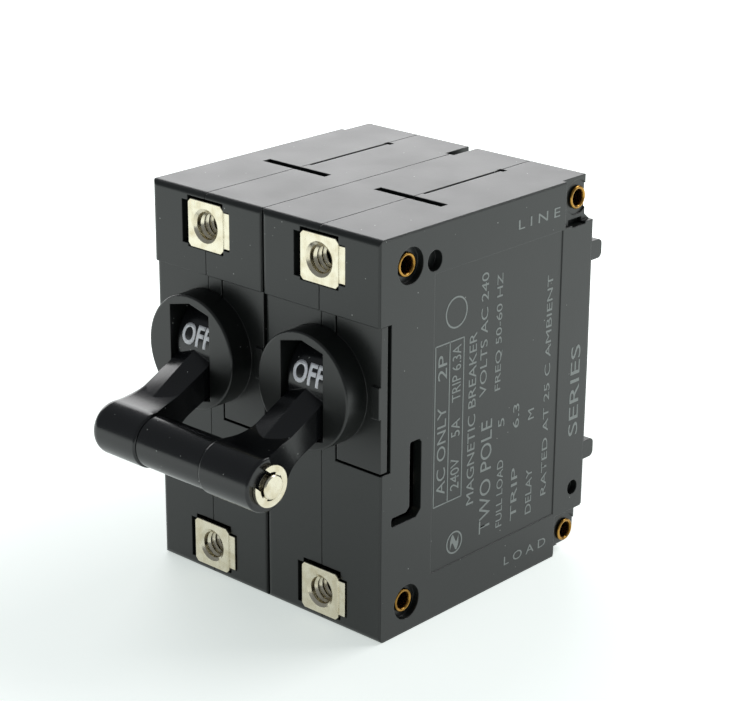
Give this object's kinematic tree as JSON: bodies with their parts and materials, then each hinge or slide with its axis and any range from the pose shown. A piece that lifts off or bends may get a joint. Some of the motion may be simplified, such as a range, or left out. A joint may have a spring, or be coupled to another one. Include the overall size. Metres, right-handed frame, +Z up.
{
  "type": "two-pole circuit protector",
  "caption": "Panel-mount hydraulic-magnetic circuit protector: black moulded poles side by side, round bezels, and toggle handles joined by a tie pin, shown off.",
  "frame": {"origin": "centre of the rectangle of four mounting nuts, on the panel face", "axes": "+X to the right pole, -Y out of the panel towards the handles, +Z up to the line terminals"},
  "size_m": [0.0382, 0.0581, 0.0508],
  "materials": {
    "case_black": "satin",
    "bezel_black": "satin",
    "handle_black": "semi-gloss",
    "nickel": "nickel plated",
    "steel": "zinc plated",
    "spring_steel": "drawn wire",
    "brass": "drawn",
    "copper": "bare copper",
    "tinned_copper": "tinned",
    "silver": "silver contact",
    "fibre": "vulcanised fibre",
    "bobbin_nylon": "moulded nylon"
  },
  "bodies": {
    "root": {"left_outer_case": "case_black", "left_inner_case": "case_black", "left_bezel": "bezel_black", "left_toggle_pin": "steel", "left_toggle_spring": "spring_steel", "left_arm_pin": "steel", "left_fixed_contact": "silver", "left_line_terminal": "tinned_copper", "left_load_terminal": "tinned_copper", "left_arc_plates": "steel", "left_arc_holder": "fibre", "left_magnet_frame": "steel", "left_bobbin": "bobbin_nylon", "left_coil": "copper", "left_delay_tube": "brass", "left_pole_cap": "steel", "left_core_spring": "spring_steel", "left_armature_pin": "steel", "left_armature_spring": "spring_steel", "left_flexible_lead": "copper", "right_outer_case": "case_black", "right_inner_case": "case_black", "right_bezel": "bezel_black", "right_toggle_pin": "steel", "right_toggle_spring": "spring_steel", "right_arm_pin": "steel", "right_fixed_contact": "silver", "right_line_terminal": "tinned_copper", "right_load_terminal": "tinned_copper", "right_arc_plates": "steel", "right_arc_holder": "fibre", "right_magnet_frame": "steel", "right_bobbin": "bobbin_nylon", "right_coil": "copper", "right_delay_tube": "brass", "right_pole_cap": "steel", "right_core_spring": "spring_steel", "right_armature_pin": "steel", "right_armature_spring": "spring_steel", "right_flexible_lead": "copper", "tubular_rivets": "brass", "mounting_nuts": "nickel", "terminal_screws": "nickel"},
    "handle": {"left_toggle": "handle_black", "right_toggle": "handle_black", "tie_pin": "nickel", "tie_sleeve": "handle_black", "retaining_ring": "nickel"},
    "left_link": {"left_latch_link": "steel"},
    "left_arm": {"left_contact_arm": "copper", "left_moving_contact": "silver"},
    "left_clapper": {"left_armature": "steel"},
    "left_core": {"left_core_slug": "steel"},
    "right_link": {"right_latch_link": "steel"},
    "right_arm": {"right_contact_arm": "copper", "right_moving_contact": "silver"},
    "right_clapper": {"right_armature": "steel"},
    "right_core": {"right_core_slug": "steel"},
    "trip": {"trip_bar": "bobbin_nylon"}
  },
  "joints": [
    {"name": "handle_hinge", "type": "hinge", "parent": "root", "child": "handle", "pos_m": [0, 0.004, 0.00575], "axis": [-1, 0, 0], "range_deg": [0, 49.2]},
    {"name": "left_link_hinge", "type": "hinge", "parent": "handle", "child": "left_link", "pos_m": [-0.00953, 0.00791, 0.00754], "axis": [1, 0, 0], "range_deg": [0, 49.2]},
    {"name": "left_arm_hinge", "type": "hinge", "parent": "root", "child": "left_arm", "pos_m": [-0.00953, 0.0165, -0.00071], "axis": [1, 0, 0], "range_deg": [0, 23.6]},
    {"name": "left_armature_hinge", "type": "hinge", "parent": "root", "child": "left_clapper", "pos_m": [-0.00953, 0.0098, -0.0089], "axis": [1, 0, 0], "range_deg": [0, 4], "stiffness_Nm_per_rad": 0.002, "springref_deg": -5.73, "deforming": ["left_armature_spring"]},
    {"name": "left_core_slide", "type": "slide", "parent": "root", "child": "left_core", "axis": [0, -1, 0], "range_m": [0, 0.0085], "stiffness_N_per_m": 20, "deforming": ["left_core_spring"]},
    {"name": "right_link_hinge", "type": "hinge", "parent": "handle", "child": "right_link", "pos_m": [0.00953, 0.00791, 0.00754], "axis": [1, 0, 0], "range_deg": [0, 49.2]},
    {"name": "right_arm_hinge", "type": "hinge", "parent": "root", "child": "right_arm", "pos_m": [0.00953, 0.0165, -0.00071], "axis": [1, 0, 0], "range_deg": [0, 23.6]},
    {"name": "right_armature_hinge", "type": "hinge", "parent": "root", "child": "right_clapper", "pos_m": [0.00953, 0.0098, -0.0089], "axis": [1, 0, 0], "range_deg": [0, 4], "stiffness_Nm_per_rad": 0.002, "springref_deg": -5.73, "deforming": ["right_armature_spring"]},
    {"name": "right_core_slide", "type": "slide", "parent": "root", "child": "right_core", "axis": [0, -1, 0], "range_m": [0, 0.0085], "stiffness_N_per_m": 20, "deforming": ["right_core_spring"]},
    {"name": "trip_bar_hinge", "type": "hinge", "parent": "root", "child": "trip", "pos_m": [0, 0.0063, -0.0072], "axis": [1, 0, 0], "range_deg": [0, 12], "stiffness_Nm_per_rad": 0.001, "springref_deg": -5.73}
  ],
  "couplings": [
    {"joint": "left_link_hinge", "follows": "handle_hinge", "ratio": 1},
    {"joint": "left_arm_hinge", "follows": "handle_hinge", "ratio": 0.47968},
    {"joint": "right_link_hinge", "follows": "handle_hinge", "ratio": 1},
    {"joint": "right_arm_hinge", "follows": "handle_hinge", "ratio": 0.47968}
  ]
}
